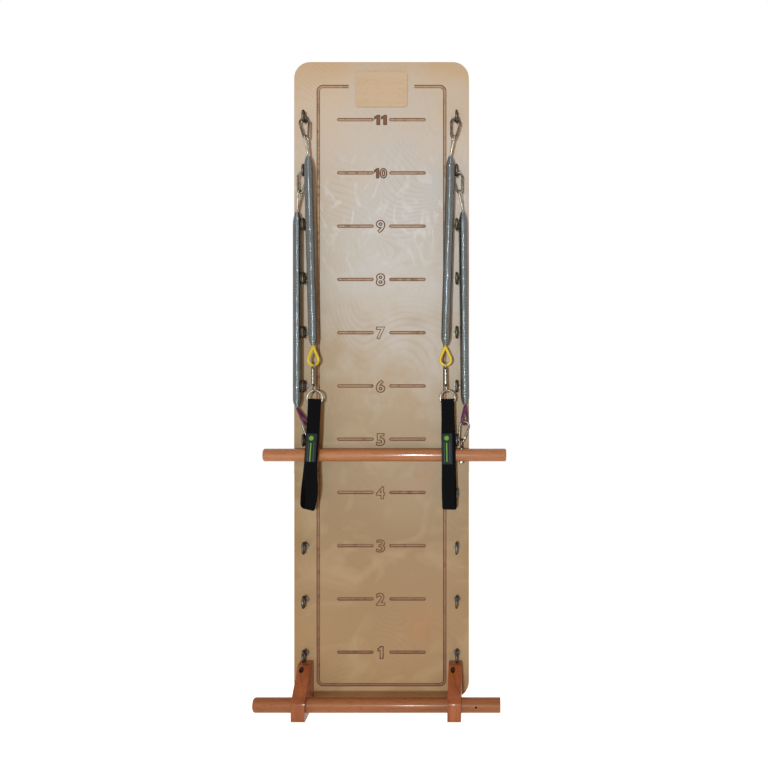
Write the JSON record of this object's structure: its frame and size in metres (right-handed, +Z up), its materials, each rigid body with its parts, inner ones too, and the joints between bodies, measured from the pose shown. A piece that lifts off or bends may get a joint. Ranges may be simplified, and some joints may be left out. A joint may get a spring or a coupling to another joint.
{
  "type": "pilates spring board",
  "caption": "Wall-mounted plywood panel with rows of eye bolts at numbered levels, hanging springs with hand straps, a roll-down bar and a fixed foot bar.",
  "frame": {"origin": "centre of the board's back face, which lies flat on the wall", "axes": "+Z up along the board, +Y into the wall, the front faces -Y, +X to the right seen from the front"},
  "size_m": [0.698, 0.18, 1.838],
  "materials": {
    "birch_ply": "satin lacquered birch plywood",
    "pale_plate": "bare laser-cut plywood",
    "stained_beech": "satin reddish stain",
    "zinc_plated": "zinc plated",
    "spring_steel": "bright drawn wire",
    "yellow_coated": "yellow coating on wire",
    "purple_coated": "dark purple coating on wire",
    "black_webbing": "black woven webbing"
  },
  "bodies": {
    "wall_unit": {"board": "birch_ply", "name_plate": "pale_plate", "foot_bar": "stained_beech", "bracket_left": "stained_beech", "bracket_right": "stained_beech", "eye_bolt_left_01": "zinc_plated", "eye_bolt_left_02": "zinc_plated", "eye_bolt_left_03": "zinc_plated", "eye_bolt_left_04": "zinc_plated", "eye_bolt_left_05": "zinc_plated", "eye_bolt_left_06": "zinc_plated", "eye_bolt_left_07": "zinc_plated", "eye_bolt_left_08": "zinc_plated", "eye_bolt_left_09": "zinc_plated", "eye_bolt_left_10": "zinc_plated", "eye_bolt_left_11": "zinc_plated", "eye_bolt_right_01": "zinc_plated", "eye_bolt_right_02": "zinc_plated", "eye_bolt_right_03": "zinc_plated", "eye_bolt_right_04": "zinc_plated", "eye_bolt_right_05": "zinc_plated", "eye_bolt_right_06": "zinc_plated", "eye_bolt_right_07": "zinc_plated", "eye_bolt_right_08": "zinc_plated", "eye_bolt_right_09": "zinc_plated", "eye_bolt_right_10": "zinc_plated", "eye_bolt_right_11": "zinc_plated"},
    "bar_left_hanger": {"bar_left_carabiner_body": "zinc_plated", "bar_left_top_loop": "zinc_plated", "bar_left_spring": "spring_steel"},
    "bar_left_pull": {"bar_left_purple_loop": "purple_coated", "bar_left_lower_carabiner_body": "zinc_plated"},
    "bar_left_carabiner_gate": {"bar_left_carabiner_gate": "zinc_plated"},
    "bar_left_lower_carabiner_gate": {"bar_left_lower_carabiner_gate": "zinc_plated"},
    "bar_right_hanger": {"bar_right_carabiner_body": "zinc_plated", "bar_right_top_loop": "zinc_plated", "bar_right_spring": "spring_steel"},
    "bar_right_pull": {"bar_right_purple_loop": "purple_coated", "bar_right_lower_carabiner_body": "zinc_plated"},
    "bar_right_carabiner_gate": {"bar_right_carabiner_gate": "zinc_plated"},
    "bar_right_lower_carabiner_gate": {"bar_right_lower_carabiner_gate": "zinc_plated"},
    "roll_down_bar": {"roll_down_bar": "stained_beech"},
    "handle_left_hanger": {"handle_left_carabiner_body": "zinc_plated"},
    "handle_left_coil": {"handle_left_top_loop": "zinc_plated", "handle_left_spring": "spring_steel"},
    "handle_left_pull": {"handle_left_yellow_loop": "yellow_coated", "handle_left_snap_body": "zinc_plated"},
    "handle_left_snap_trigger": {"handle_left_snap_trigger": "zinc_plated"},
    "handle_left_grip": {"handle_left_d_ring": "zinc_plated", "handle_left_strap": "black_webbing"},
    "handle_left_carabiner_gate": {"handle_left_carabiner_gate": "zinc_plated"},
    "handle_right_hanger": {"handle_right_carabiner_body": "zinc_plated"},
    "handle_right_coil": {"handle_right_top_loop": "zinc_plated", "handle_right_spring": "spring_steel"},
    "handle_right_pull": {"handle_right_yellow_loop": "yellow_coated", "handle_right_snap_body": "zinc_plated"},
    "handle_right_snap_trigger": {"handle_right_snap_trigger": "zinc_plated"},
    "handle_right_grip": {"handle_right_d_ring": "zinc_plated", "handle_right_strap": "black_webbing"},
    "handle_right_carabiner_gate": {"handle_right_carabiner_gate": "zinc_plated"}
  },
  "joints": [
    {"name": "bar_left_swing", "type": "hinge", "parent": "wall_unit", "child": "bar_left_hanger", "pos_m": [-0.216, -0.07, 0.5926], "axis": [-1, 0, 0], "range_deg": [0, 60]},
    {"name": "bar_left_stretch", "type": "slide", "parent": "bar_left_hanger", "child": "bar_left_pull", "axis": [0, 0, -1], "range_m": [0, 0.32], "stiffness_N_per_m": 150, "springref_m": -0.1, "deforming": ["bar_left_spring"]},
    {"name": "bar_left_carabiner_gate_hinge", "type": "hinge", "parent": "bar_left_hanger", "child": "bar_left_carabiner_gate", "pos_m": [-0.2318, -0.07, 0.54313], "axis": [0, 1, 0], "range_deg": [0, 25], "stiffness_Nm_per_rad": 0.03, "springref_deg": -8.59},
    {"name": "bar_left_lower_carabiner_gate_hinge", "type": "hinge", "parent": "bar_left_pull", "child": "bar_left_lower_carabiner_gate", "pos_m": [-0.19003, -0.07, -0.15906], "axis": [0, -1, 0], "range_deg": [0, 25], "stiffness_Nm_per_rad": 0.03, "springref_deg": -8.59},
    {"name": "bar_right_swing", "type": "hinge", "parent": "wall_unit", "child": "bar_right_hanger", "pos_m": [0.216, -0.07, 0.5926], "axis": [-1, 0, 0], "range_deg": [0, 60]},
    {"name": "bar_right_stretch", "type": "slide", "parent": "bar_right_hanger", "child": "bar_right_pull", "axis": [0, 0, -1], "range_m": [0, 0.32], "stiffness_N_per_m": 150, "springref_m": -0.1, "deforming": ["bar_right_spring"]},
    {"name": "bar_right_carabiner_gate_hinge", "type": "hinge", "parent": "bar_right_hanger", "child": "bar_right_carabiner_gate", "pos_m": [0.2318, -0.07, 0.54313], "axis": [0, -1, 0], "range_deg": [0, 25], "stiffness_Nm_per_rad": 0.03, "springref_deg": -8.59},
    {"name": "bar_right_lower_carabiner_gate_hinge", "type": "hinge", "parent": "bar_right_pull", "child": "bar_right_lower_carabiner_gate", "pos_m": [0.23883, -0.07, -0.16268], "axis": [0, -1, 0], "range_deg": [0, 25], "stiffness_Nm_per_rad": 0.03, "springref_deg": -8.59},
    {"name": "roll_down_bar_tilt", "type": "hinge", "parent": "bar_left_pull", "child": "roll_down_bar", "pos_m": [-0.1965, -0.07, -0.174], "axis": [-1, 0, 0], "range_deg": [-25, 0]},
    {"name": "handle_left_swing", "type": "hinge", "parent": "wall_unit", "child": "handle_left_hanger", "pos_m": [-0.216, -0.07, 0.745], "axis": [-1, 0, 0], "range_deg": [0, 54.5]},
    {"name": "handle_left_carabiner_gate_hinge", "type": "hinge", "parent": "handle_left_hanger", "child": "handle_left_carabiner_gate", "pos_m": [-0.21689, -0.07751, 0.69362], "axis": [0, 0.9895, -0.1446], "range_deg": [0, 25], "stiffness_Nm_per_rad": 0.03, "springref_deg": -8.59},
    {"name": "handle_left_spring_swing", "type": "hinge", "parent": "handle_left_hanger", "child": "handle_left_coil", "pos_m": [-0.20703, -0.07925, 0.6817], "axis": [-1, 0, 0], "range_deg": [0, 60]},
    {"name": "handle_left_stretch", "type": "slide", "parent": "handle_left_coil", "child": "handle_left_pull", "axis": [0.0297, -0.0195, -0.9994], "range_m": [0, 0.4], "stiffness_N_per_m": 120, "springref_m": -0.1, "deforming": ["handle_left_spring"]},
    {"name": "handle_left_snap_slide", "type": "slide", "parent": "handle_left_pull", "child": "handle_left_snap_trigger", "axis": [-0.0163, 0.0614, 0.998], "range_m": [0, 0.009], "stiffness_N_per_m": 150, "springref_m": -0.003},
    {"name": "handle_left_tilt", "type": "hinge", "parent": "handle_left_pull", "child": "handle_left_grip", "pos_m": [-0.182, -0.10455, -0.02825], "axis": [-1, 0, 0], "range_deg": [0, 75]},
    {"name": "handle_right_swing", "type": "hinge", "parent": "wall_unit", "child": "handle_right_hanger", "pos_m": [0.216, -0.07, 0.745], "axis": [-1, 0, 0], "range_deg": [0, 54.5]},
    {"name": "handle_right_carabiner_gate_hinge", "type": "hinge", "parent": "handle_right_hanger", "child": "handle_right_carabiner_gate", "pos_m": [0.21689, -0.07751, 0.69362], "axis": [0, -0.9895, 0.1446], "range_deg": [0, 25], "stiffness_Nm_per_rad": 0.03, "springref_deg": -8.59},
    {"name": "handle_right_spring_swing", "type": "hinge", "parent": "handle_right_hanger", "child": "handle_right_coil", "pos_m": [0.20703, -0.07925, 0.6817], "axis": [-1, 0, 0], "range_deg": [0, 60]},
    {"name": "handle_right_stretch", "type": "slide", "parent": "handle_right_coil", "child": "handle_right_pull", "axis": [-0.0279, -0.0195, -0.9994], "range_m": [0, 0.4], "stiffness_N_per_m": 120, "springref_m": -0.1, "deforming": ["handle_right_spring"]},
    {"name": "handle_right_snap_slide", "type": "slide", "parent": "handle_right_pull", "child": "handle_right_snap_trigger", "axis": [-0.0163, 0.042, 0.999], "range_m": [0, 0.009], "stiffness_N_per_m": 150, "springref_m": -0.003},
    {"name": "handle_right_tilt", "type": "hinge", "parent": "handle_right_pull", "child": "handle_right_grip", "pos_m": [0.187, -0.10216, -0.0284], "axis": [-1, 0, 0], "range_deg": [0, 75]}
  ],
  "couplings": [
    {"joint": "bar_left_stretch", "follows": "bar_left_swing", "m_per_rad": 0.3},
    {"joint": "bar_right_swing", "follows": "bar_left_swing", "ratio": 1},
    {"joint": "bar_right_stretch", "follows": "bar_left_swing", "m_per_rad": 0.3},
    {"joint": "handle_left_swing", "follows": "bar_left_swing", "ratio": 0.9},
    {"joint": "handle_right_swing", "follows": "bar_left_swing", "ratio": 0.9}
  ]
}
